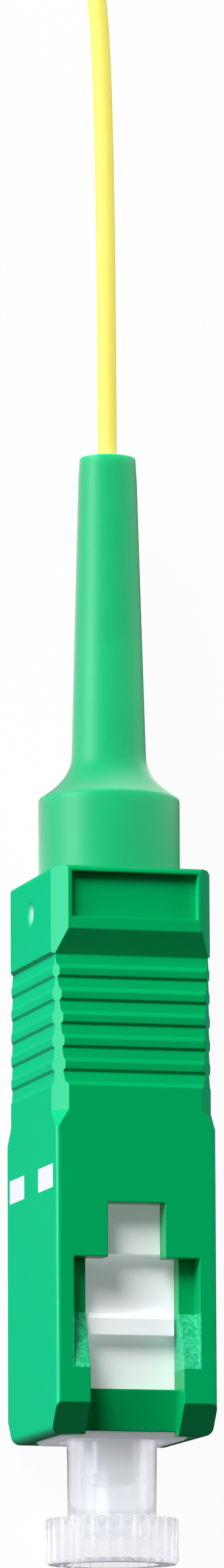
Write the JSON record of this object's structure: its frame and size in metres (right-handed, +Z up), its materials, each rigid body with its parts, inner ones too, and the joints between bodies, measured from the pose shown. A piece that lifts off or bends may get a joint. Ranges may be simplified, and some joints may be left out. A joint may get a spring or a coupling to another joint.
{
  "type": "sc fibre connector",
  "caption": "Push-pull fibre-optic connector with a ridged grip, sprung ceramic ferrule under a dust cap, strain-relief boot and coiled buffered fibre.",
  "frame": {"origin": "on the table under the middle of the outer housing, which lies on one narrow face", "axes": "+Y along the fibre, away from the mating end; +Z up, out of the other narrow face; +X across, out of the wide face with the polarity key"},
  "size_m": [0.0122, 0.1067, 0.009],
  "materials": {
    "grip_plastic": "satin green moulding",
    "frame_plastic": "off-white moulding",
    "ceramic": "polished zirconia",
    "plated_metal": "plated",
    "glass": "clear",
    "tube_plastic": "natural",
    "spring_steel": "drawn wire",
    "post_plastic": "moulded",
    "boot_rubber": "matte green elastomer",
    "cap_plastic": "translucent white",
    "fibre_jacket": "yellow tight buffer",
    "tie_plastic": "soft white"
  },
  "bodies": {
    "plug": {"plug_frame": "frame_plastic", "back_post": "post_plastic", "boot": "boot_rubber", "fibre_in_boot": "fibre_jacket", "buffered_fibre": "fibre_jacket", "fibre_hank": "fibre_jacket", "hank_ties": "tie_plastic", "spring": "spring_steel"},
    "grip": {"outer_housing": "grip_plastic"},
    "ferrule_group": {"ferrule": "ceramic", "ferrule_flange": "plated_metal", "glass_fibre": "glass", "guide_tube": "tube_plastic"},
    "cap": {"dust_cap": "cap_plastic"}
  },
  "joints": [
    {"name": "grip_slide", "type": "slide", "parent": "plug", "child": "grip", "axis": [0, 1, 0], "range_m": [0, 0.002]},
    {"name": "ferrule_retract", "type": "slide", "parent": "plug", "child": "ferrule_group", "axis": [0, 1, 0], "range_m": [0, 0.0015], "stiffness_N_per_m": 1000, "springref_m": -0.005, "deforming": ["spring"]},
    {"name": "dust_cap_pull", "type": "slide", "parent": "ferrule_group", "child": "cap", "axis": [0, -1, 0], "range_m": [0, 0.012]}
  ]
}
